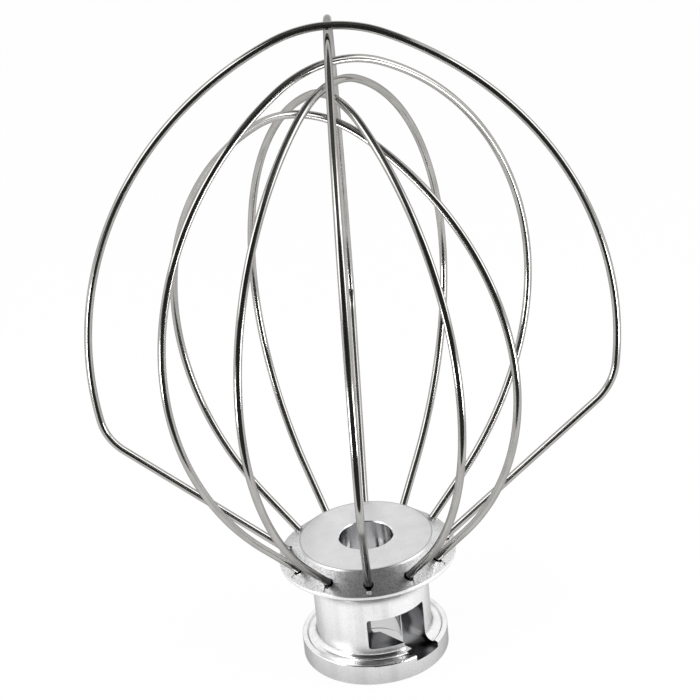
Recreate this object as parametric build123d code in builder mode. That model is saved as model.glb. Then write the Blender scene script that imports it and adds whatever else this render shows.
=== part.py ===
"""Wire whisk for a stand mixer: six bent wire loops staked into one turned hub.

Millimetres. The origin is the centre of the hub's lower face, where the mixer's
shaft enters, and +Z points up the shaft axis to the tip of the wires. Azimuths are
counted from -Y towards +X, so the widest loop lies near the XZ plane.
"""

from build123d import *
from dataclasses import dataclass
from math import asin, atan2, cos, hypot, radians, sin, tan
import os

# Drive bore, and the L-shaped slot that takes the pin across the mixer's shaft
shaft_diameter = 12.7
bore_clearance = 0.1
bore_break = 0.25
bore_lead_in = 0.5
pin_slot_width = 7.3
pin_slot_azimuth = 45.0
pin_keyway_depth = 6.2
pin_notch_depth = 1.4
window_sill = 2.2
window_height = 8.0
window_end_azimuth = -6.5
window_corner_radius = 0.8

# Turned outside of the hub, from the lower face upwards
base_height = 5.4
base_edge_break = 0.4
base_lip_width = 1.1
base_groove_depth = 0.45
base_ledge_width = 0.55
base_cove_radius = 1.6
neck_wall = 7.5
rim_cove_radius = 4.5
rim_underside_angle = 32.0
rim_overhang = 7.25
rim_height = 26.75
rim_edge_height = 0.8
rim_edge_break = 0.25
cone_width = 4.9
cone_height = 4.15
disk_edge_break = 0.35

# Wire, and how its ends are seated and staked in the hub
wire_diameter = 1.83
wire_fit = 0.04
wire_hole_setback = 3.0
wire_hole_depth = 6.0
wire_end_gap = 0.15
hole_mouth_clearance = 0.3
hole_mouth_depth = 0.7
stake_width = 1.1
stake_length = 1.6
stake_depth = 0.35

# Crown bend of each loop, and how far a side arc runs on below the widest point
# before the shoulder bend begins
outer_over_crown_radius = 30.0
outer_under_crown_radius = 40.0
inner_1_crown_radius = 28.5
inner_2_crown_radius = 29.5
inner_3_crown_radius = 23.0
inner_4_crown_radius = 25.5
outer_side_drop = 10.5
inner_side_drop = 20.0

# Height of the highest wire above the hub, and the clear gaps between it and those
# below
cage_height = 126.3
crossing_gap = 0.2
gap_above_inner_1 = 4.6
gap_above_inner_2 = 1.8
gap_above_inner_3 = 0.7
gap_above_inner_4 = 0.95

# How far each loop stands out on its near and its far side, how far its apex leans
# towards its near side, and the straight legs from the holes' mouths to the shoulders
outer_over_near_width = 60.1
outer_over_far_width = 61.0
outer_over_lean = -2.2
outer_over_near_leg = 46.5
outer_over_far_leg = 49.5
outer_under_near_width = 61.5
outer_under_far_width = 59.5
outer_under_lean = -6.5
outer_under_near_leg = 48.5
outer_under_far_leg = 52.0
inner_1_near_width = 47.8
inner_1_far_width = 49.6
inner_1_lean = -3.0
inner_2_width = 47.8
inner_2_lean = 1.5
inner_3_width = 45.5
inner_3_lean = 3.4
inner_4_width = 44.3
inner_4_lean = -0.7
inner_leg = 12.0

bore_radius = (shaft_diameter + bore_clearance) / 2
neck_radius = bore_radius + neck_wall
base_radius = (
    neck_radius + base_cove_radius + base_ledge_width + base_groove_depth + base_lip_width
)
rim_radius = neck_radius + rim_overhang
disk_radius = rim_radius - cone_width
hub_height = rim_height + cone_height
pin_notch_floor = base_height - pin_notch_depth
window_floor = base_height + window_sill

outer_apex_height = hub_height + cage_height
under_apex_height = outer_apex_height - wire_diameter - crossing_gap
inner_1_apex_height = under_apex_height - wire_diameter - gap_above_inner_1
inner_2_apex_height = inner_1_apex_height - wire_diameter - gap_above_inner_2
inner_3_apex_height = inner_2_apex_height - wire_diameter - gap_above_inner_3
inner_4_apex_height = inner_3_apex_height - wire_diameter - gap_above_inner_4

cone_slope = atan2(cone_height, cone_width)
mouth_radius = rim_radius - wire_hole_setback * cos(cone_slope)
mouth_height = rim_height + wire_hole_setback * sin(cone_slope)
hole_radius = wire_diameter / 2 + wire_fit
hole_mouth_radius = wire_diameter / 2 + hole_mouth_clearance


@dataclass
class Side:
    """One side of a loop: how far it stands out, and its straight leg.

    belly is the share of the loop's height above its holes at which it is widest.
    """

    width: float
    belly: float
    leg: float


@dataclass
class Loop:
    """One wire loop, which points its near side to its azimuth, in degrees.

    lean moves its apex towards the near side, along its own plane, and tilt turns that
    plane about the line through its two holes, in degrees.
    """

    name: str
    azimuth: float
    apex_height: float
    crown_radius: float
    side_drop: float
    lean: float
    tilt: float
    near: Side
    far: Side


@dataclass
class Half:
    """Corner points of half a loop in its plane, from the hole's end to the apex."""

    hole_end: tuple
    leg_end: tuple
    shoulder_end: tuple
    side_end: tuple
    apex: tuple
    leg_angle: float


loops = [
    Loop(
        name="outer_wire_over",
        azimuth=-90,
        apex_height=outer_apex_height,
        crown_radius=outer_over_crown_radius,
        side_drop=outer_side_drop,
        lean=outer_over_lean,
        tilt=0.8,
        near=Side(outer_over_near_width, belly=0.383, leg=outer_over_near_leg),
        far=Side(outer_over_far_width, belly=0.408, leg=outer_over_far_leg),
    ),
    Loop(
        name="outer_wire_under",
        azimuth=-0.3,
        apex_height=under_apex_height,
        crown_radius=outer_under_crown_radius,
        side_drop=outer_side_drop,
        lean=outer_under_lean,
        tilt=-1.05,
        near=Side(outer_under_near_width, belly=0.434, leg=outer_under_near_leg),
        far=Side(outer_under_far_width, belly=0.397, leg=outer_under_far_leg),
    ),
    Loop(
        name="inner_wire_1",
        azimuth=-60,
        apex_height=inner_1_apex_height,
        crown_radius=inner_1_crown_radius,
        side_drop=inner_side_drop,
        lean=inner_1_lean,
        tilt=0.4,
        near=Side(inner_1_near_width, belly=0.472, leg=inner_leg),
        far=Side(inner_1_far_width, belly=0.497, leg=inner_leg),
    ),
    Loop(
        name="inner_wire_2",
        azimuth=-30,
        apex_height=inner_2_apex_height,
        crown_radius=inner_2_crown_radius,
        side_drop=inner_side_drop,
        lean=inner_2_lean,
        tilt=-1.2,
        near=Side(inner_2_width, belly=0.493, leg=inner_leg),
        far=Side(inner_2_width, belly=0.485, leg=inner_leg),
    ),
    Loop(
        name="inner_wire_3",
        azimuth=30,
        apex_height=inner_3_apex_height,
        crown_radius=inner_3_crown_radius,
        side_drop=inner_side_drop,
        lean=inner_3_lean,
        tilt=-0.2,
        near=Side(inner_3_width, belly=0.484, leg=inner_leg),
        far=Side(inner_3_width, belly=0.464, leg=inner_leg),
    ),
    Loop(
        name="inner_wire_4",
        azimuth=60,
        apex_height=inner_4_apex_height,
        crown_radius=inner_4_crown_radius,
        side_drop=inner_side_drop,
        lean=inner_4_lean,
        tilt=2.8,
        near=Side(inner_4_width, belly=0.471, leg=inner_leg),
        far=Side(inner_4_width, belly=0.47, leg=inner_leg),
    ),
]


def on_circle(centre, radius, angle):
    return (centre[0] + radius * cos(angle), centre[1] + radius * sin(angle))


def half_loop(loop, side):
    """Work out one half's tangent arcs, on side 1 (near) or -1 (far)."""
    edge = loop.near if side > 0 else loop.far
    lean = loop.lean * side
    loop_height = loop.apex_height - mouth_height
    widest = edge.width + lean * edge.belly

    # Three-centred arch: the side arc is upright at the widest point, and the crown
    # arc is level at the apex.
    span = widest - lean
    rise = loop_height * (1 - edge.belly)
    beyond_crown = span - loop.crown_radius
    side_radius = (span**2 + rise**2 - 2 * rise * loop.crown_radius) / (2 * beyond_crown)
    side_centre = (widest - side_radius, loop.apex_height - rise)
    crown_centre = (lean, loop.apex_height - loop.crown_radius)
    join = atan2(crown_centre[1] - side_centre[1], crown_centre[0] - side_centre[0])
    side_end = on_circle(side_centre, side_radius, join)

    # The shoulder bend lies inside the side arc. Its radius is the one at which the
    # tangent from the hole's mouth, which is the straight leg, has the leg's length.
    run_on = -asin(loop.side_drop / side_radius)
    shoulder_end = on_circle(side_centre, side_radius, run_on)
    reach = (shoulder_end[0] - mouth_radius, shoulder_end[1] - mouth_height)
    reach_across_bend = reach[0] * cos(run_on) + reach[1] * sin(run_on)
    shoulder_radius = (hypot(*reach) ** 2 - edge.leg**2) / (2 * reach_across_bend)
    shoulder_centre = on_circle(shoulder_end, -shoulder_radius, run_on)
    to_centre = atan2(shoulder_centre[1] - mouth_height, shoulder_centre[0] - mouth_radius)
    leg = to_centre - atan2(shoulder_radius, edge.leg)
    leg_end = on_circle((mouth_radius, mouth_height), edge.leg, leg)
    seated_length = wire_hole_depth - wire_end_gap
    hole_end = on_circle((mouth_radius, mouth_height), -seated_length, leg)

    corners = [hole_end, leg_end, shoulder_end, side_end, (lean, loop.apex_height)]
    return Half(*[(side * r, z - mouth_height) for r, z in corners], leg_angle=leg)


def outwards(azimuth):
    return Vector(sin(radians(azimuth)), -cos(radians(azimuth)), 0)


def loop_plane(loop):
    """The plane that a loop is bent in: x out to its near side, y up."""
    x_dir = outwards(loop.azimuth)
    level_normal = x_dir.cross(Vector(0, 0, 1))
    tilted_normal = level_normal.rotate(Axis((0, 0, 0), x_dir), loop.tilt)
    return Plane(origin=(0, 0, mouth_height), x_dir=x_dir, z_dir=tilted_normal)


def leg_plane(loop, side):
    """The plane across a straight leg at the hole's mouth, facing out of the hub."""
    plane = loop_plane(loop)
    angle = half_loop(loop, side).leg_angle
    leg_direction = plane.x_dir * (side * cos(angle)) + plane.y_dir * sin(angle)
    return Plane(origin=plane.origin + plane.x_dir * (side * mouth_radius), z_dir=leg_direction)


def stake_plane(azimuth):
    """The plane on the cone where a hole is staked, with x pointing down the slope."""
    radial = outwards(azimuth)
    down_slope = radial * cos(cone_slope) - Vector(0, 0, sin(cone_slope))
    normal = radial * sin(cone_slope) + Vector(0, 0, cos(cone_slope))
    mouth = radial * mouth_radius + Vector(0, 0, mouth_height)
    middle = hole_mouth_radius + stake_length / 2 - stake_depth
    return Plane(origin=mouth + down_slope * middle, x_dir=down_slope, z_dir=normal)


def make_wire(loop):
    near = half_loop(loop, 1)
    far = half_loop(loop, -1)
    with BuildPart() as wire:
        with BuildLine(loop_plane(loop)) as path:
            near_leg = Line(near.hole_end, near.leg_end)
            near_shoulder = TangentArc(near.leg_end, near.shoulder_end, tangent=near_leg % 1)
            near_side = TangentArc(near.shoulder_end, near.side_end, tangent=near_shoulder % 1)
            near_crown = TangentArc(near.side_end, near.apex, tangent=near_side % 1)
            far_crown = TangentArc(far.apex, far.side_end, tangent=near_crown % 1)
            far_side = TangentArc(far.side_end, far.shoulder_end, tangent=far_crown % 1)
            far_shoulder = TangentArc(far.shoulder_end, far.leg_end, tangent=far_side % 1)
            Line(far.leg_end, far.hole_end)
        with BuildSketch(Plane(origin=path.line @ 0, z_dir=path.line % 0)):
            Circle(wire_diameter / 2)
        sweep()
    return wire


rim_edge_foot = rim_height - rim_edge_height
underside_foot = rim_edge_foot - (rim_radius - neck_radius) * tan(radians(rim_underside_angle))
lip_radius = base_radius - base_lip_width
groove_height = base_height - base_groove_depth
groove_radius = lip_radius - base_groove_depth

# Each corner of the turned outline, with the radius that rounds it
outline = [
    ((base_radius, 0), base_edge_break),
    ((base_radius, base_height), base_edge_break),
    ((lip_radius, base_height), 0),
    ((groove_radius, groove_height), 0),
    ((neck_radius, groove_height), base_cove_radius),
    ((neck_radius, underside_foot), rim_cove_radius),
    ((rim_radius, rim_edge_foot), rim_edge_break),
    ((rim_radius, rim_height), rim_edge_break),
    ((disk_radius, hub_height - disk_edge_break), 0),
    ((disk_radius - disk_edge_break, hub_height), 0),
]
outline_points = [corner for corner, radius in outline]
outline_radii = [radius for corner, radius in outline]

# Cuts start or end this far outside the metal, so that they leave no skin
slot_cut_length = base_radius + rim_radius
drill_run_in = wire_diameter

slot_direction = outwards(pin_slot_azimuth)
window_direction = outwards(window_end_azimuth)

with BuildPart() as hub:
    with BuildSketch(Plane.XZ):
        with BuildLine():
            FilletPolyline((0, 0), *outline_points, (0, hub_height), radius=outline_radii)
            Line((0, hub_height), (0, 0))
        make_face()
    revolve(axis=Axis.Z)

    # Through bore for the mixer's shaft, with a broken upper edge and a lead-in below
    with Locations(hub.faces().sort_by(Axis.Z)[-1]):
        Hole(bore_radius)
    bore_edges = hub.edges(Select.LAST).filter_by(GeomType.CIRCLE).sort_by(Axis.Z)
    chamfer(bore_edges[-1], bore_break)
    chamfer(bore_edges[0], bore_lead_in)

    # Window round the wall, where the shaft's pin turns and locks
    with BuildSketch(Plane.XY.offset(window_floor)):
        with BuildLine():
            sector_start = window_direction * slot_cut_length
            sector_end = slot_direction * slot_cut_length
            Line((0, 0), (sector_start.X, sector_start.Y))
            RadiusArc((sector_start.X, sector_start.Y), (sector_end.X, sector_end.Y), -slot_cut_length)
            Line((sector_end.X, sector_end.Y), (0, 0))
        make_face()
        with Locations(Rot(0, 0, pin_slot_azimuth - 90)):
            Rectangle(slot_cut_length, pin_slot_width, align=(Align.MIN, Align.CENTER))
    extrude(amount=window_height, mode=Mode.SUBTRACT)
    window_corners = hub.edges(Select.LAST).filter_by(GeomType.LINE).filter_by(Plane.XY)
    fillet(window_corners, window_corner_radius)

    # Upright entry for the pin: open through the wall above the base's outer ring,
    # and a keyway in the bore below it
    with BuildSketch(Plane.XY.offset(pin_notch_floor)):
        with Locations(Rot(0, 0, pin_slot_azimuth - 90)):
            Rectangle(slot_cut_length, pin_slot_width, align=(Align.MIN, Align.CENTER))
    extrude(amount=window_floor + window_height / 2 - pin_notch_floor, mode=Mode.SUBTRACT)
    with BuildSketch(Plane.XY):
        with Locations(Rot(0, 0, pin_slot_azimuth - 90)):
            keyway_reach = bore_radius + pin_keyway_depth
            Rectangle(keyway_reach, pin_slot_width, align=(Align.MIN, Align.CENTER))
    extrude(amount=pin_notch_floor, mode=Mode.SUBTRACT)

    # Twelve blind wire holes in the cone, each with a wider mouth and a stake mark
    for loop in loops:
        for side in (1, -1):
            with Locations(leg_plane(loop, side).offset(drill_run_in)):
                CounterBoreHole(
                    radius=hole_radius,
                    counter_bore_radius=hole_mouth_radius,
                    counter_bore_depth=drill_run_in + hole_mouth_depth,
                    depth=drill_run_in + wire_hole_depth,
                )
            hole_azimuth = loop.azimuth if side == 1 else loop.azimuth + 180
            with Locations(stake_plane(hole_azimuth)):
                Box(stake_length, stake_width, 2 * stake_depth, mode=Mode.SUBTRACT)

os.makedirs("parts", exist_ok=True)
hub.part.label = "hub"
export_step(hub.part, "parts/hub.step")

for loop in loops:
    wire = make_wire(loop)
    wire.part.label = loop.name
    export_step(wire.part, f"parts/{loop.name}.step")
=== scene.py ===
"""Looks for a stand mixer's wire whisk.

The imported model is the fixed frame. Six bent wires are swept along their own paths with
Geometry Nodes, the turned hub keeps its frame mesh and gets its finish, and a plain
pale studio stands round them. Lengths are metres, and azimuths count from -Y to +X.
"""

from math import asin, atan2, cos, hypot, pi, radians, sin, tan

import bpy
from mathutils import Matrix, Vector


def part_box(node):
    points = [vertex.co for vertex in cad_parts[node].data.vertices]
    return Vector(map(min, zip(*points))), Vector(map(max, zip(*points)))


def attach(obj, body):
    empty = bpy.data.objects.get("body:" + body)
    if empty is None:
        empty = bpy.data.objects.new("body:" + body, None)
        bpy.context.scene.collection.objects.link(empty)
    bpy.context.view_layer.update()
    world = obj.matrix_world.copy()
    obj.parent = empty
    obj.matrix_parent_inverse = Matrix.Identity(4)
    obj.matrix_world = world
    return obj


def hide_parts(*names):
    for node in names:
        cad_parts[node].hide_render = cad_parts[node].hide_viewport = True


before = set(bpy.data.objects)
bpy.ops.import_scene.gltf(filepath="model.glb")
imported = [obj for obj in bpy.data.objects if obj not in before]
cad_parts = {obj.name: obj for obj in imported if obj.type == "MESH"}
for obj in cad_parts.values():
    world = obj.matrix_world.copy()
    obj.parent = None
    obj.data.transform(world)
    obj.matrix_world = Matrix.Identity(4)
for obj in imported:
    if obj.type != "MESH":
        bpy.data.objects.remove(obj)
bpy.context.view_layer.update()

bl_info = {
    "name": "Wire Whisk Dresser",
    "version": (1, 0, 0),
    "blender": (4, 5, 0),
    "location": "3D View > Sidebar > Whisk",
    "description": "Dresses a stand mixer's wire whisk and sets up its studio",
    "category": "Object",
}

MM = 0.001
HUB_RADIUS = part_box("hub")[1].x

# The hub in millimetres: radii from its axis and heights from its foot
BORE_RADIUS = 6.4
NECK_RADIUS = 13.9
BASE_RADIUS = 17.6
BASE_HEIGHT = 5.4
NOTCH_FLOOR = 4.0
WINDOW_TOP = 15.6
RIM_HEIGHT = 26.75
DISK_RADIUS = 16.25
HUB_HEIGHT = 30.9

# Where the wires' holes open in the cone, and how the cone falls from the disk to the rim
HOLES_RADIUS = 18.86
HOLES_HEIGHT = 28.526
CONE_SLOPE = radians(37.8)

# Node, azimuth and tilt in degrees, lean, crown radius and side drop, then the width,
# belly share and straight leg of the near and of the far side. Lengths are millimetres.
LOOPS = (
    ("outer_wire_over", -90, 0.8, -2.2, 30.0, 10.5, (60.1, 0.383, 46.5), (61.0, 0.408, 49.5)),
    ("outer_wire_under", -0.3, -1.05, -6.5, 40.0, 10.5, (61.5, 0.434, 48.5), (59.5, 0.397, 52.0)),
    ("inner_wire_1", -60, 0.4, -3.0, 28.5, 20.0, (47.8, 0.472, 12.0), (49.6, 0.497, 12.0)),
    ("inner_wire_2", -30, -1.2, 1.5, 29.5, 20.0, (47.8, 0.493, 12.0), (47.8, 0.485, 12.0)),
    ("inner_wire_3", 30, -0.2, 3.4, 23.0, 20.0, (45.5, 0.484, 12.0), (45.5, 0.464, 12.0)),
    ("inner_wire_4", 60, 2.8, -0.7, 25.5, 20.0, (44.3, 0.471, 12.0), (44.3, 0.47, 12.0)),
)


# Properties


def size(name, description, default):
    return bpy.props.FloatProperty(
        name=name, description=description, default=default, subtype="DISTANCE", unit="LENGTH"
    )


def share(name, description, default):
    return bpy.props.FloatProperty(
        name=name, description=description, default=default, min=0.0, max=1.0, subtype="FACTOR"
    )


def level(name, description, default):
    return bpy.props.FloatProperty(name=name, description=description, default=default, min=0.0)


def tint(name, description, default):
    return bpy.props.FloatVectorProperty(
        name=name, description=description, default=default, min=0.0, max=1.0, subtype="COLOR"
    )


class WireSizes(bpy.types.PropertyGroup):
    diameter: size("Diameter", "Thickness of the wire", 1.815 * MM)
    mouth_radius: size("Mouth radius", "From the axis to a hole's mouth", 18.8605 * MM)
    mouth_height: size("Mouth height", "Height of the holes' mouths", 28.689 * MM)
    seat: size("Seat", "Length of wire inside its hole", 5.85 * MM)
    step: size("Step", "Length of one facet along the wire", 0.9 * MM)
    sides: bpy.props.IntProperty(
        name="Sides", description="Facets round the wire", default=28, min=8, max=64
    )


class Finishes(bpy.types.PropertyGroup):
    steel: tint("Steel", "Colour of the polished wire", (0.485, 0.478, 0.461))
    steel_edge: tint("Steel edge", "Tint of the wire where it is seen aslant", (0.5, 0.5, 0.5))
    steel_blur: share("Steel blur", "Roughness of the wire", 0.1)
    aluminium: tint("Aluminium", "Colour of the hub's metal", (0.88, 0.88, 0.885))
    aluminium_edge: tint("Aluminium edge", "Tint of the hub where seen aslant", (0.55, 0.55, 0.55))
    aluminium_blur: share("Aluminium blur", "Roughness of the turned hub", 0.3)
    blasted: tint("Blasted cone", "Colour of the dull specks on the cone", (0.58, 0.58, 0.58))
    # Partly a burnished tone and partly painted highlight down the neck
    burnish_and_sheen: tint("Burnished streaks", "Colour of the streaks down the hub", (0.98, 0.98, 0.98))
    # Painted shade: the slot, the notch and the holes' mouths are painted nearly black
    recess_shade: tint("Milled slot", "Dark colour inside the pin's slot", (0.055, 0.055, 0.06))
    # Painted reflection: paler bands over the painted shade in the slot
    slot_reflection_bands: tint("Smeared slot", "Paler bands inside the pin's slot", (0.3, 0.3, 0.31))
    staked: tint("Stake marks", "Colour of the punched stake marks", (0.95, 0.95, 0.95))
    reamed: tint("Reamed bore", "Colour of the dull stripes in the bore", (0.93, 0.93, 0.94))
    pit: tint("Pits", "Colour at the bottom of a pit", (0.1, 0.1, 0.1))


class Studio(bpy.types.PropertyGroup):
    floor: tint("Floor", "Colour of the floor", (0.9, 0.9, 0.9))
    ambient: level("Ambient", "Soft light from all round", 0.9)
    left_lamp: level("Left lamp", "Power of the left softbox in watts", 1.2)
    right_lamp: level("Right lamp", "Power of the right softbox in watts", 0.95)
    strips: level("Low strips", "Power of each low strip light in watts", 0.1)
    camera_place: bpy.props.FloatVectorProperty(
        name="Camera place",
        description="Where the camera stands",
        default=(0.01118, -0.49255, 0.32231),
        subtype="TRANSLATION",
        unit="LENGTH",
    )
    camera_turn: bpy.props.FloatVectorProperty(
        name="Camera turn",
        description="How the camera is turned",
        default=(radians(63.706), radians(5.066), radians(-1.267)),
        subtype="EULER",
    )
    lens: bpy.props.FloatProperty(
        name="Lens", description="Focal length in millimetres", default=123.43, min=10.0
    )


# Building node trees


def add(tree, kind, inputs=None, **settings):
    """Add a node. An input is given a plain value, or the socket that feeds it."""
    node = tree.nodes.new(kind)
    for key, value in settings.items():
        setattr(node, key, value)
    for key, value in (inputs or {}).items():
        if isinstance(value, bpy.types.NodeSocket):
            tree.links.new(value, node.inputs[key])
        else:
            node.inputs[key].default_value = value
    return node


def new_tree(name, kind, inputs, outputs):
    """A node group with named sockets: the tree, the sockets it gets and those it gives."""
    tree = bpy.data.node_groups.new(name, kind)
    for way, sockets in (("INPUT", inputs), ("OUTPUT", outputs)):
        for socket_name, socket_type, default in sockets:
            socket = tree.interface.new_socket(
                name=socket_name, in_out=way, socket_type=socket_type
            )
            if default is not None:
                socket.default_value = default
    return tree, add(tree, "NodeGroupInput").outputs, add(tree, "NodeGroupOutput").inputs


def calc(tree, operation, a, b=0.0, clamp=False):
    node = add(tree, "ShaderNodeMath", {0: a, 1: b}, operation=operation, use_clamp=clamp)
    return node.outputs[0]


def point(tree, x, y, z):
    return add(tree, "ShaderNodeCombineXYZ", {0: x, 1: y, 2: z}).outputs[0]


def noise(tree, vector, scale, detail=2.0):
    inputs = {"Vector": vector, "Scale": scale, "Detail": detail}
    return add(tree, "ShaderNodeTexNoise", inputs).outputs["Fac"]


def fade(tree, value, start, end, low=0.0, high=1.0):
    """A smooth step: low at start, high at end."""
    inputs = {"Value": value, "From Min": start, "From Max": end, "To Min": low, "To Max": high}
    node = add(tree, "ShaderNodeMapRange", inputs, interpolation_type="SMOOTHSTEP")
    return node.outputs["Result"]


def above(tree, length, edge, soft):
    """A mask that is 0 up to the edge and rises to 1 over a soft width, in millimetres."""
    return fade(tree, length, edge * MM, (edge + soft) * MM)


def below(tree, length, edge, soft):
    """A mask that is 1 up to the edge and falls to 0 over a soft width, in millimetres."""
    return fade(tree, length, (edge + soft) * MM, edge * MM)


def all_of(tree, *masks):
    """A mask that is 1 where every one of the masks is."""
    product = masks[0]
    for mask in masks[1:]:
        product = calc(tree, "MULTIPLY", product, mask)
    return product


def plus(tree, value, mask, amount):
    """A value raised by an amount where the mask is 1."""
    return calc(tree, "ADD", value, calc(tree, "MULTIPLY", mask, amount))


def blend(tree, factor, a, b):
    """A colour: a where the factor is 0 and b where it is 1."""
    node = add(tree, "ShaderNodeMix", data_type="RGBA")
    for key, value in (("Factor_Float", factor), ("A_Color", a), ("B_Color", b)):
        socket = next(s for s in node.inputs if s.identifier == key)
        if isinstance(value, bpy.types.NodeSocket):
            tree.links.new(value, socket)
        else:
            socket.default_value = value
    return next(s for s in node.outputs if s.identifier == "Result_Color")


def use_group(tree, group, inputs):
    return add(tree, "ShaderNodeGroup", inputs, node_tree=group).outputs


def rgba(colour, factor=1.0):
    """An opaque colour, made brighter or darker by a factor."""
    return (colour[0] * factor, colour[1] * factor, colour[2] * factor, 1.0)


def new_material(name):
    material = bpy.data.materials.new(name)
    material.use_nodes = True
    material.node_tree.nodes.clear()
    return material, material.node_tree


def close_metal(tree, colour, roughness, height, depth, edge):
    """The metal shader, fed by a colour, a roughness, a relief of that depth and the tint
    where it is seen aslant.
    """
    bump = add(tree, "ShaderNodeBump", {"Height": height, "Strength": 1.0, "Distance": depth})
    inputs = {
        "Base Color": colour,
        "Metallic": 1.0,
        "Roughness": roughness,
        "Specular Tint": rgba(edge),
        "Normal": bump.outputs[0],
    }
    metal = add(tree, "ShaderNodeBsdfPrincipled", inputs)
    add(tree, "ShaderNodeOutputMaterial", {"Surface": metal.outputs[0]})


# Effects that both metals use


def grain_group():
    """Fine lines left by the drawing die or the lathe tool, in a given pattern space."""
    if "Tool lines" in bpy.data.node_groups:
        return bpy.data.node_groups["Tool lines"]
    tree, source, result = new_tree(
        "Tool lines",
        "ShaderNodeTree",
        (
            ("Pattern", "NodeSocketVector", None),
            ("Fineness", "NodeSocketFloat", 1000.0),
            ("Waviness", "NodeSocketFloat", 0.3),
        ),
        (("Height", "NodeSocketFloat", None), ("Lines", "NodeSocketFloat", None)),
    )
    coarseness = calc(tree, "MULTIPLY", source["Fineness"], 0.21)
    fine = noise(tree, source["Pattern"], source["Fineness"], 3.0)
    coarse = noise(tree, source["Pattern"], coarseness)
    waves = calc(tree, "MULTIPLY", coarse, source["Waviness"])
    height = calc(tree, "ADD", fine, waves)
    tree.links.new(height, result["Height"])
    tree.links.new(fade(tree, fine, 0.35, 0.65), result["Lines"])
    return tree


def handling_group():
    """Blotches and small scuffs from tumbling and handling."""
    if "Handling" in bpy.data.node_groups:
        return bpy.data.node_groups["Handling"]
    tree, source, result = new_tree(
        "Handling",
        "ShaderNodeTree",
        (
            ("Pattern", "NodeSocketVector", None),
            ("Blotch size", "NodeSocketFloat", 0.004),
            ("Scuff amount", "NodeSocketFloat", 0.3),
        ),
        (("Blotches", "NodeSocketFloat", None), ("Scuffs", "NodeSocketFloat", None)),
    )
    scale = calc(tree, "DIVIDE", 1.0, source["Blotch size"])
    scuff_scale = calc(tree, "MULTIPLY", scale, 3.7)
    blotches = fade(tree, noise(tree, source["Pattern"], scale, 4.0), 0.3, 0.7)
    scuffs = noise(tree, source["Pattern"], scuff_scale, 3.0)

    # A scuff shows where its noise is over an edge, which a larger amount lowers
    lowered = calc(tree, "MULTIPLY", source["Scuff amount"], 0.2)
    edge = calc(tree, "SUBTRACT", 0.72, lowered)
    steepness = 9.0
    over_edge = calc(tree, "SUBTRACT", scuffs, edge)
    scuffed = calc(tree, "MULTIPLY", over_edge, steepness, clamp=True)
    tree.links.new(blotches, result["Blotches"])
    tree.links.new(scuffed, result["Scuffs"])
    return tree


# Wires


def on_circle(centre, radius, angle):
    """The point of a circle at an angle, in a loop's plane."""
    return Vector((centre[0] + radius * cos(angle), centre[1] + radius * sin(angle)))


def half_knots(sizes, loop, side):
    """Bezier knots of half a loop in its plane, from the hole's end to the apex.

    The side is 1 for the near half and -1 for the far one. Each knot is its place, its
    handle back and its handle on.
    """
    node, _, _, lean, crown, drop, near, far = loop
    width, belly, leg_length = near if side > 0 else far
    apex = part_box(node)[1].z - sizes.diameter / 2
    lean, crown, drop, leg_length = lean * MM * side, crown * MM, drop * MM, leg_length * MM
    widest = width * MM + lean * belly

    # Three-centred arch: upright at its widest point and level at its apex
    span = widest - lean
    rise = (apex - sizes.mouth_height) * (1 - belly)
    side_radius = (span**2 + rise**2 - 2 * rise * crown) / (2 * (span - crown))
    side_centre = Vector((widest - side_radius, apex - rise))
    crown_centre = Vector((lean, apex - crown))
    to_crown = crown_centre - side_centre
    join = atan2(to_crown.y, to_crown.x)

    # The shoulder bend has the radius at which the tangent from the hole's mouth is as
    # long as the straight leg.
    mouth = Vector((sizes.mouth_radius, sizes.mouth_height))
    run_on = -asin(drop / side_radius)
    reach = on_circle(side_centre, side_radius, run_on) - mouth
    across_bend = reach.x * cos(run_on) + reach.y * sin(run_on)
    shoulder = (hypot(*reach) ** 2 - leg_length**2) / (2 * across_bend)
    shoulder_centre = on_circle(mouth + reach, -shoulder, run_on)
    to_centre = shoulder_centre - mouth
    leg = atan2(to_centre.y, to_centre.x) - atan2(shoulder, leg_length)

    arcs = (
        (shoulder_centre, shoulder, leg - pi / 2, run_on),
        (side_centre, side_radius, run_on, join),
        (crown_centre, crown, join, pi / 2),
    )
    hole_end = on_circle(mouth, -sizes.seat, leg)
    third = (on_circle(mouth, leg_length, leg) - hole_end) / 3
    knots = [(hole_end, Vector((0, 0)), third)]
    back = -third
    pieces = 4
    for centre, radius, start, end in arcs:
        turned = (end - start) / pieces
        handle = radius * 4 / 3 * tan(turned / 4)
        for i in range(pieces):
            angle = start + turned * i
            forward = Vector((-sin(angle), cos(angle))) * handle
            knots.append((on_circle(centre, radius, angle), back, forward))
            back = Vector((sin(angle + turned), -cos(angle + turned))) * handle
    knots.append((Vector((lean, apex)), back, Vector((0, 0))))
    return knots


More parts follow.
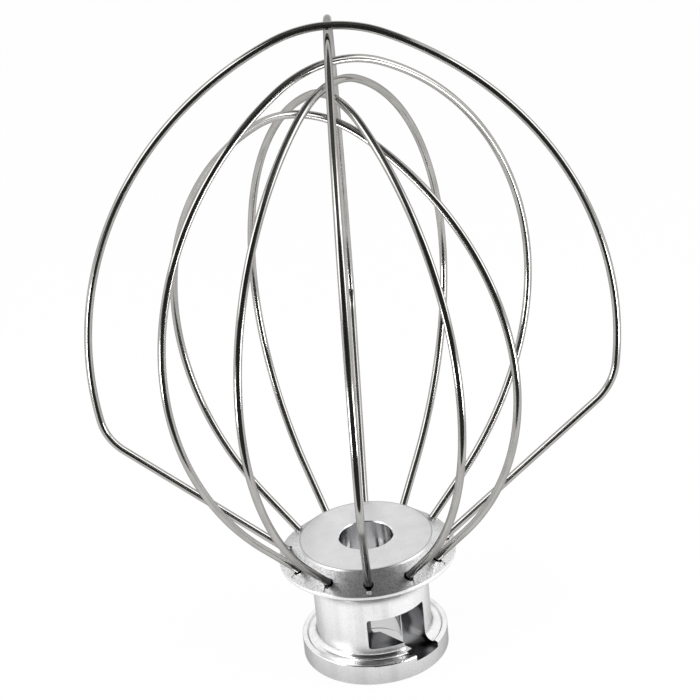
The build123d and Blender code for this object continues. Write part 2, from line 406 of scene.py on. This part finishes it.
def wire_path(sizes, loop):
    """The wire's centre line from hole to hole, as one Bezier curve."""

    def mirrored(flat):
        return Vector((-flat.x, flat.y))

    near = half_knots(sizes, loop, 1)
    far = [tuple(map(mirrored, (p, on, back))) for p, back, on in half_knots(sizes, loop, -1)]
    far.reverse()
    # The halves share the knot at the apex
    near[-1] = (near[-1][0], near[-1][1], far[0][2])
    knots = near + far[1:]

    node, azimuth, tilt = loop[0], radians(loop[1]), radians(loop[2])
    outward = Vector((sin(azimuth), -cos(azimuth), 0))
    up = Matrix.Rotation(tilt, 3, outward) @ Vector((0, 0, 1))
    foot = Vector((0, 0, sizes.mouth_height))

    def placed(flat):
        return foot + outward * flat.x + up * (flat.y - sizes.mouth_height)

    curve = bpy.data.curves.new(node + "_path", "CURVE")
    curve.dimensions = "3D"
    curve.resolution_u = 32
    spline = curve.splines.new("BEZIER")
    spline.bezier_points.add(len(knots) - 1)
    for bezier, (place, back, on) in zip(spline.bezier_points, knots):
        bezier.handle_left_type = bezier.handle_right_type = "FREE"
        bezier.co = placed(place)
        bezier.handle_left = placed(place + back)
        bezier.handle_right = placed(place + on)
    path = bpy.data.objects.new(node + "_path", curve)
    bpy.context.collection.objects.link(path)
    return path


def wire_sweep_tree():
    """Sweep a round wire along a path, and mark where each point is on it."""
    if "Wire sweep" in bpy.data.node_groups:
        return bpy.data.node_groups["Wire sweep"]
    tree, source, result = new_tree(
        "Wire sweep",
        "GeometryNodeTree",
        (
            ("Path", "NodeSocketGeometry", None),
            ("Diameter", "NodeSocketFloat", 1.815 * MM),
            ("Step", "NodeSocketFloat", 0.9 * MM),
            ("Sides", "NodeSocketInt", 28),
            ("Finish", "NodeSocketMaterial", None),
        ),
        (("Wire", "NodeSocketGeometry", None),),
    )
    even = add(tree, "GeometryNodeResampleCurve", mode="LENGTH")
    tree.links.new(source["Path"], even.inputs["Curve"])
    tree.links.new(source["Step"], even.inputs["Length"])
    marked = add(tree, "GeometryNodeStoreNamedAttribute", data_type="FLOAT", domain="POINT")
    marked.inputs["Name"].default_value = "along"
    tree.links.new(even.outputs[0], marked.inputs["Geometry"])
    distance = add(tree, "GeometryNodeSplineParameter").outputs["Length"]
    tree.links.new(distance, marked.inputs["Value"])

    radius = calc(tree, "DIVIDE", source["Diameter"], 2.0)
    ring = add(tree, "GeometryNodeCurvePrimitiveCircle", mode="RADIUS")
    tree.links.new(source["Sides"], ring.inputs["Resolution"])
    tree.links.new(radius, ring.inputs["Radius"])
    unit = add(tree, "ShaderNodeVectorMath", operation="NORMALIZE")
    tree.links.new(add(tree, "GeometryNodeInputPosition").outputs[0], unit.inputs[0])
    rounded = add(
        tree, "GeometryNodeStoreNamedAttribute", data_type="FLOAT_VECTOR", domain="POINT"
    )
    rounded.inputs["Name"].default_value = "around"
    tree.links.new(ring.outputs["Curve"], rounded.inputs["Geometry"])
    tree.links.new(unit.outputs[0], rounded.inputs["Value"])

    swept = add(tree, "GeometryNodeCurveToMesh", {"Fill Caps": True})
    tree.links.new(marked.outputs[0], swept.inputs["Curve"])
    tree.links.new(rounded.outputs[0], swept.inputs["Profile Curve"])
    smooth = add(tree, "GeometryNodeSetShadeSmooth", {"Geometry": swept.outputs[0]})
    real = add(tree, "GeometryNodeRealizeInstances", {"Geometry": smooth.outputs[0]})
    finished = add(tree, "GeometryNodeSetMaterial", {"Geometry": real.outputs[0]})
    tree.links.new(source["Finish"], finished.inputs["Material"])
    tree.links.new(finished.outputs[0], result["Wire"])
    return tree


def polished_steel(finishes):
    """Bright drawn wire: lines along it, faint blotches, duller where it was gripped."""
    material, tree = new_material("polished_steel")
    along = add(tree, "ShaderNodeAttribute", attribute_name="along").outputs["Fac"]
    around = add(tree, "ShaderNodeAttribute", attribute_name="around").outputs["Vector"]
    split = add(tree, "ShaderNodeSeparateXYZ", {0: around}).outputs
    # The pattern has a radius of one unit round the wire, and this many units to a metre
    # along it, so the noise is drawn out into lines.
    units_along = 40.0
    pattern = point(tree, split[0], split[1], calc(tree, "MULTIPLY", along, units_along))
    lines = use_group(
        tree, grain_group(), {"Pattern": pattern, "Fineness": 3.2, "Waviness": 0.4}
    )
    place = add(tree, "ShaderNodeTexCoord").outputs["Object"]
    marks = use_group(
        tree, handling_group(), {"Pattern": place, "Blotch size": 0.006, "Scuff amount": 0.2}
    )
    dimmed = plus(tree, calc(tree, "MULTIPLY", marks["Blotches"], 0.4), lines["Lines"], 0.6)
    bright, dim = rgba(finishes.steel, 1.06), rgba(finishes.steel, 0.78)
    colour = blend(tree, dimmed, bright, dim)
    blur = plus(tree, finishes.steel_blur, lines["Lines"], 0.04)
    blur = plus(tree, blur, marks["Scuffs"], 0.08)
    line_depth = 0.0015 * MM
    close_metal(tree, colour, blur, lines["Height"], line_depth, finishes.steel_edge)
    return material


class WHISK_OT_bend_wires(bpy.types.Operator):
    """Sweep the six wires along their paths, in place of the frame's plain ones"""

    bl_idname = "whisk.bend_wires"
    bl_label = "Bend Wires"

    def execute(self, context):
        sizes = context.scene.whisk_wires
        steel = polished_steel(context.scene.whisk_finishes)
        tree = wire_sweep_tree()
        sockets = {s.name: s.identifier for s in tree.interface.items_tree}
        for loop in LOOPS:
            node = loop[0]
            path = wire_path(sizes, loop)
            sweep = path.modifiers.new("Wire sweep", "NODES")
            sweep.node_group = tree
            sweep[sockets["Diameter"]] = sizes.diameter
            sweep[sockets["Step"]] = sizes.step
            sweep[sockets["Sides"]] = sizes.sides
            sweep[sockets["Finish"]] = steel
            depsgraph = context.evaluated_depsgraph_get()
            swept = bpy.data.meshes.new_from_object(path.evaluated_get(depsgraph))
            wire = bpy.data.objects.new(node + "_bent", swept)
            context.collection.objects.link(wire)
            bpy.data.objects.remove(path)
            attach(wire, "root")
            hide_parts(node)
        return {"FINISHED"}


# Hub


def stake_masks(tree, radius, height):
    """The stake marks cut into the cone outside the holes, and the holes' mouths."""
    outward = calc(tree, "SUBTRACT", radius, HOLES_RADIUS * MM)
    upward = calc(tree, "SUBTRACT", height, HOLES_HEIGHT * MM)
    # How far off the cone's surface a point is, and how far down the cone from the holes
    over_cone = calc(
        tree,
        "ADD",
        calc(tree, "MULTIPLY", outward, sin(CONE_SLOPE)),
        calc(tree, "MULTIPLY", upward, cos(CONE_SLOPE)),
    )
    down_cone = calc(
        tree,
        "SUBTRACT",
        calc(tree, "MULTIPLY", outward, cos(CONE_SLOPE)),
        calc(tree, "MULTIPLY", upward, sin(CONE_SLOPE)),
    )
    staked = all_of(
        tree,
        below(tree, over_cone, -0.1, 0.04),
        above(tree, over_cone, -0.5, 0.1),
        above(tree, down_cone, 1.15, 0.1),
    )
    mouths = all_of(
        tree,
        below(tree, over_cone, -0.08, 0.04),
        above(tree, over_cone, -1.2, 0.2),
        below(tree, calc(tree, "ABSOLUTE", down_cone), 1.28, 0.05),
    )
    return staked, mouths


def slot_mask(tree, split, radius, height):
    """Inside the wall behind the window, and the notch that cuts the base at 45 degrees."""
    in_wall = all_of(
        tree,
        below(tree, radius, NECK_RADIUS - 0.2, 0.1),
        above(tree, height, 0.2, 0.2),
        below(tree, height, WINDOW_TOP + 0.1, 0.1),
    )
    # x + y counts across the notch and x - y along it, each as sqrt(2) times the way
    aside = calc(tree, "ABSOLUTE", calc(tree, "ADD", split[0], split[1]))
    ahead = calc(tree, "SUBTRACT", split[0], split[1])
    in_notch = all_of(
        tree,
        below(tree, aside, 5.22, 0.04),
        above(tree, ahead, 17.0, 1.0),
        above(tree, height, NOTCH_FLOOR - 0.1, 0.07),
        below(tree, height, BASE_HEIGHT + 0.4, 0.4),
    )
    return calc(tree, "MAXIMUM", in_wall, in_notch)


def turned_aluminium(finishes):
    """Turned aluminium: lathe rings, a blasted cone, a cut slot in painted shade, a reamed bore.
    """
    material, tree = new_material("turned_aluminium")
    place = add(tree, "ShaderNodeTexCoord").outputs["Object"]
    split = add(tree, "ShaderNodeSeparateXYZ", {0: place}).outputs
    height = split[2]
    across = point(tree, split[0], split[1], 0.0)
    facing = add(tree, "ShaderNodeVectorMath", {0: across}, operation="NORMALIZE").outputs[0]
    radius = add(tree, "ShaderNodeVectorMath", {0: across}, operation="LENGTH").outputs["Value"]
    rings = use_group(
        tree,
        grain_group(),
        {"Pattern": point(tree, radius, 0.0, height), "Fineness": 5200.0, "Waviness": 0.6},
    )
    marks = use_group(
        tree, handling_group(), {"Pattern": place, "Blotch size": 0.0035, "Scuff amount": 0.3}
    )

    # A small pit in the middle of a few cells
    pitted_share = 0.06
    cells = add(tree, "ShaderNodeTexVoronoi", {"Vector": place, "Scale": 210.0})
    chance = add(tree, "ShaderNodeSeparateXYZ", {0: cells.outputs["Color"]}).outputs[0]
    picked = calc(tree, "LESS_THAN", chance, pitted_share)
    pits = all_of(tree, fade(tree, cells.outputs["Distance"], 0.09, 0.05), picked)

    # Where each finish lies
    cone = all_of(
        tree,
        above(tree, radius, DISK_RADIUS - 0.1, 0.2),
        above(tree, height, RIM_HEIGHT - 0.15, 0.3),
    )
    bore = below(tree, radius, BORE_RADIUS + 0.2, 0.15)
    # Painted shade: the bore is darker towards its foot
    deep_bore_shade = below(tree, height, 7.5, 1.5)
    slot = slot_mask(tree, split, radius, height)
    staked, mouths = stake_masks(tree, radius, height)
    from_line = calc(tree, "SUBTRACT", radius, (DISK_RADIUS - 0.5) * MM)
    turn_line = all_of(
        tree,
        above(tree, height, HUB_HEIGHT - 0.2, 0.1),
        below(tree, calc(tree, "ABSOLUTE", from_line), 0.05, 0.2),
    )
    under_rim = below(tree, height, RIM_HEIGHT - 0.95, 0.4)
    base_steps = all_of(
        tree,
        above(tree, height, BASE_HEIGHT - 0.7, 0.2),
        below(tree, height, BASE_HEIGHT + 0.8, 0.6),
    )
    rim_cove = all_of(
        tree,
        above(tree, height, RIM_HEIGHT - 5.25, 1.0),
        below(tree, height, RIM_HEIGHT - 0.75, 0.4),
    )

    # Streaks up the hub, partly painted highlight, fine specks, and painted bands in the slot
    streaks = fade(tree, noise(tree, facing, 3.1, 3.0), 0.34, 0.54)
    stripes = fade(tree, noise(tree, facing, 7.5, 2.0), 0.36, 0.46)
    front_back = add(tree, "ShaderNodeSeparateXYZ", {0: facing}).outputs[1]
    # Painted sheen on the bore's walls that face front and back
    front_back_sheen = fade(tree, calc(tree, "ABSOLUTE", front_back), 0.6, 0.78)
    specks = fade(tree, noise(tree, place, 2300.0, 3.0), 0.42, 0.62)
    on_cone, elsewhere = 0.8, 0.18
    dull = calc(tree, "MAXIMUM", calc(tree, "MULTIPLY", cone, on_cone), elsewhere)
    bands = fade(tree, noise(tree, place, 170.0, 1.0), 0.42, 0.62)

    shade = blend(
        tree,
        calc(tree, "MULTIPLY", marks["Blotches"], 0.5),
        rgba(finishes.aluminium),
        rgba(finishes.aluminium, 0.94),
    )
    # Painted shade in the slot and notch, with paler bands as painted reflections
    slot_shade = blend(tree, bands, rgba(finishes.recess_shade), rgba(finishes.slot_reflection_bands))
    # Painted sheen: paler stripes, in the stake marks' colour, on the bore's front and back walls
    bore_shade = blend(
        tree, all_of(tree, stripes, front_back_sheen), rgba(finishes.reamed), rgba(finishes.staked)
    )
    # Painted shade low in the bore
    bore_shade = blend(tree, deep_bore_shade, bore_shade, rgba(finishes.reamed, 0.66))

    # Each layer covers the ones before it
    layers = (
        (all_of(tree, streaks, under_rim), rgba(finishes.burnish_and_sheen)),
        (calc(tree, "MULTIPLY", turn_line, 0.5), rgba(finishes.pit, 2.0)),
        (all_of(tree, dull, specks), rgba(finishes.blasted)),
        (slot, slot_shade),
        (staked, rgba(finishes.staked)),
        # Painted shade: the holes' mouths are painted nearly black
        (mouths, rgba(finishes.recess_shade)),
        (bore, bore_shade),
        (pits, rgba(finishes.pit)),
    )
    for mask, paint in layers:
        shade = blend(tree, mask, shade, paint)

    polished = calc(tree, "MAXIMUM", base_steps, rim_cove)
    blur = plus(tree, finishes.aluminium_blur, marks["Blotches"], 0.07)
    for mask, amount in ((marks["Scuffs"], 0.08), (bore, -0.15), (polished, -0.15)):
        blur = plus(tree, blur, mask, amount)
    least_blur = 0.06
    blur = plus(tree, calc(tree, "MAXIMUM", blur, least_blur), staked, 0.4)
    relief = calc(tree, "MULTIPLY", rings["Height"], 0.4)
    for mask, amount in ((all_of(tree, cone, specks), 0.8), (pits, -8.0)):
        relief = plus(tree, relief, mask, amount)
    relief_depth = 0.006 * MM
    close_metal(tree, shade, blur, relief, relief_depth, finishes.aluminium_edge)
    return material


class WHISK_OT_finish_hub(bpy.types.Operator):
    """Give the turned hub its metal"""

    bl_idname = "whisk.finish_hub"
    bl_label = "Finish Hub"

    def execute(self, context):
        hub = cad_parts["hub"]
        hub.data.materials.clear()
        hub.data.materials.append(turned_aluminium(context.scene.whisk_finishes))
        return {"FINISHED"}


# Studio


def background_rays(tree):
    """Masks of the rays that show the background: the camera's, and mirror or clear ones."""
    path = add(tree, "ShaderNodeLightPath").outputs
    mirrored = calc(tree, "MAXIMUM", path["Is Glossy Ray"], path["Is Transmission Ray"])
    return path["Is Camera Ray"], mirrored


def flat_card(name, corners, material):
    """A flat piece of the stage, through the corners given."""
    mesh = bpy.data.meshes.new(name)
    mesh.from_pydata(corners, [], [tuple(range(len(corners)))])
    mesh.materials.append(material)
    card = bpy.data.objects.new(name, mesh)
    bpy.context.collection.objects.link(card)
    return card


def pale_floor(studio):
    """White to the camera and in mirrors, but in painted shade under and near the hub."""
    material, tree = new_material("pale_floor")
    place = add(tree, "ShaderNodeTexCoord").outputs["Object"]
    away = add(tree, "ShaderNodeVectorMath", {0: place}, operation="LENGTH").outputs["Value"]
    # Painted shadow under and near the hub in mirrors, and a painted pool of light below the bore
    under = fade(tree, away, HUB_RADIUS * 0.7, HUB_RADIUS * 0.85, 0.03, 1.0)
    near = fade(tree, away, HUB_RADIUS * 0.8, HUB_RADIUS * 1.7, 0.6, 1.0)
    below_bore = below(tree, away, BORE_RADIUS - 0.2, 0.2)
    lit = calc(tree, "MAXIMUM", all_of(tree, under, near), below_bore)

    # The camera sees painted shade inside the base ring, and a little real shadow outside it.
    inside, outside = (BASE_RADIUS - 0.6) * MM, (BASE_RADIUS - 0.2) * MM
    camera, mirrored = background_rays(tree)
    seen = all_of(tree, camera, fade(tree, away, inside, outside, 0.55, 0.9))
    keep = calc(tree, "MAXIMUM", seen, mirrored)
    glow = calc(tree, "MAXIMUM", camera, lit)
    matte = add(tree, "ShaderNodeBsdfDiffuse", {"Color": rgba(studio.floor)})
    white = add(tree, "ShaderNodeEmission", {"Color": (1, 1, 1, 1), "Strength": glow})
    shown = add(tree, "ShaderNodeMixShader", {0: keep, 1: matte.outputs[0], 2: white.outputs[0]})
    add(tree, "ShaderNodeOutputMaterial", {"Surface": shown.outputs[0]})
    return material


def dark_cloth(name, shade):
    """A matte grey cloth of that shade."""
    material, tree = new_material(name)
    matte = add(tree, "ShaderNodeBsdfDiffuse", {"Color": (shade, shade, shade, 1)})
    add(tree, "ShaderNodeOutputMaterial", {"Surface": matte.outputs[0]})
    return material


def softbox(name, place, target, width, height, power):
    """A rectangular lamp aimed at its target, and not seen by the camera itself."""
    lamp = bpy.data.lights.new(name, "AREA")
    lamp.shape = "RECTANGLE"
    lamp.size = width
    lamp.size_y = height
    lamp.energy = power
    box = bpy.data.objects.new(name, lamp)
    bpy.context.collection.objects.link(box)
    box.location = place
    aim = Vector(target) - Vector(place)
    box.rotation_mode = "QUATERNION"
    box.rotation_quaternion = aim.to_track_quat("-Z", "Y")
    box.visible_camera = False
    return box


class WHISK_OT_set_stage(bpy.types.Operator):
    """Set up the floor, the soft light, the dark cloths and the camera"""

    bl_idname = "whisk.set_stage"
    bl_label = "Set Stage"

    def execute(self, context):
        studio = context.scene.whisk_studio
        reach = 3.0
        drop = -0.05 * MM
        corners = [(x * reach, y * reach, drop) for x, y in ((-1, -1), (1, -1), (1, 1), (-1, 1))]
        flat_card("floor", corners, pale_floor(studio))

        world = bpy.data.worlds.new("studio")
        context.scene.world = world
        world.use_nodes = True
        tree = world.node_tree
        tree.nodes.clear()
        shown = calc(tree, "MAXIMUM", *background_rays(tree))
        strength = calc(tree, "MAXIMUM", shown, studio.ambient)
        sky = add(tree, "ShaderNodeBackground", {"Color": (1, 1, 1, 1), "Strength": strength})
        add(tree, "ShaderNodeOutputWorld", {"Surface": sky.outputs[0]})

        # Dark cloths in front, above and beside, which only the metal mirrors
        black, grey = dark_cloth("black_cloth", 0.035), dark_cloth("grey_cloth", 0.11)
        side, front, top = 0.7, -0.75, 1.0
        low = [(-0.14, -0.1, 0), (0.14, -0.1, 0), (0.6, front, 0), (-0.6, front, 0)]
        tall = [(-side, front, 0), (side, front, 0), (side, front, top), (-side, front, top)]
        over = [(-0.8, front, top), (side, front, top), (side, -front, top), (-0.8, -front, top)]
        left = [(-side, front, 0), (-0.95, -0.4, 0), (-0.95, -0.4, 0.8), (-side, front, top)]
        right = [(-x, y, z) for x, y, z in left]
        cloths = (
            ("cloth_low", low, black),
            ("cloth_tall", tall, black),
            ("cloth_top", over, grey),
            ("cloth_left", left, grey),
            ("cloth_right", right, grey),
        )
        for name, corners, cloth in cloths:
            card = flat_card(name, corners, cloth)
            card.visible_camera = False
            card.visible_diffuse = False
            card.visible_shadow = False
        cage, neck = (0, 0, 0.07), (0, 0, 0.02)
        softbox("left_softbox", (-0.55, -0.2, 0.45), cage, 0.35, 0.5, studio.left_lamp)
        softbox("right_softbox", (0.6, -0.1, 0.35), cage, 0.3, 0.5, studio.right_lamp)
        softbox("left_strip", (-0.16, -0.11, 0.035), neck, 0.04, 0.06, studio.strips)
        softbox("right_strip", (0.15, -0.1, 0.035), neck, 0.04, 0.06, studio.strips)

        camera_data = bpy.data.cameras.new("camera")
        camera_data.lens = studio.lens
        camera_data.sensor_width = 36.0
        camera = bpy.data.objects.new("camera", camera_data)
        context.collection.objects.link(camera)
        camera.location = studio.camera_place
        camera.rotation_euler = studio.camera_turn
        context.scene.camera = camera
        context.scene.view_settings.view_transform = "Standard"
        return {"FINISHED"}


class WHISK_PT_dresser(bpy.types.Panel):
    """The whisk's sizes, finishes and studio"""

    bl_idname = "WHISK_PT_dresser"
    bl_label = "Whisk"
    bl_space_type = "VIEW_3D"
    bl_region_type = "UI"
    bl_category = "Whisk"

    def draw(self, context):
        scene = context.scene
        groups = (
            (scene.whisk_wires, "whisk.bend_wires"),
            (scene.whisk_finishes, "whisk.finish_hub"),
            (scene.whisk_studio, "whisk.set_stage"),
        )
        for group, operator in groups:
            box = self.layout.box()
            for key in group.__annotations__:
                box.prop(group, key)
            box.operator(operator)


CLASSES = (
    WireSizes,
    Finishes,
    Studio,
    WHISK_OT_bend_wires,
    WHISK_OT_finish_hub,
    WHISK_OT_set_stage,
    WHISK_PT_dresser,
)


def register():
    for cls in CLASSES:
        bpy.utils.register_class(cls)
    bpy.types.Scene.whisk_wires = bpy.props.PointerProperty(type=WireSizes)
    bpy.types.Scene.whisk_finishes = bpy.props.PointerProperty(type=Finishes)
    bpy.types.Scene.whisk_studio = bpy.props.PointerProperty(type=Studio)


def unregister():
    del bpy.types.Scene.whisk_studio
    del bpy.types.Scene.whisk_finishes
    del bpy.types.Scene.whisk_wires
    for cls in reversed(CLASSES):
        bpy.utils.unregister_class(cls)


def main():
    """Dress the wires, then the hub, then the stage."""
    register()
    bpy.ops.whisk.bend_wires()
    bpy.ops.whisk.finish_hub()
    bpy.ops.whisk.set_stage()


if __name__ == "__main__":
    main()
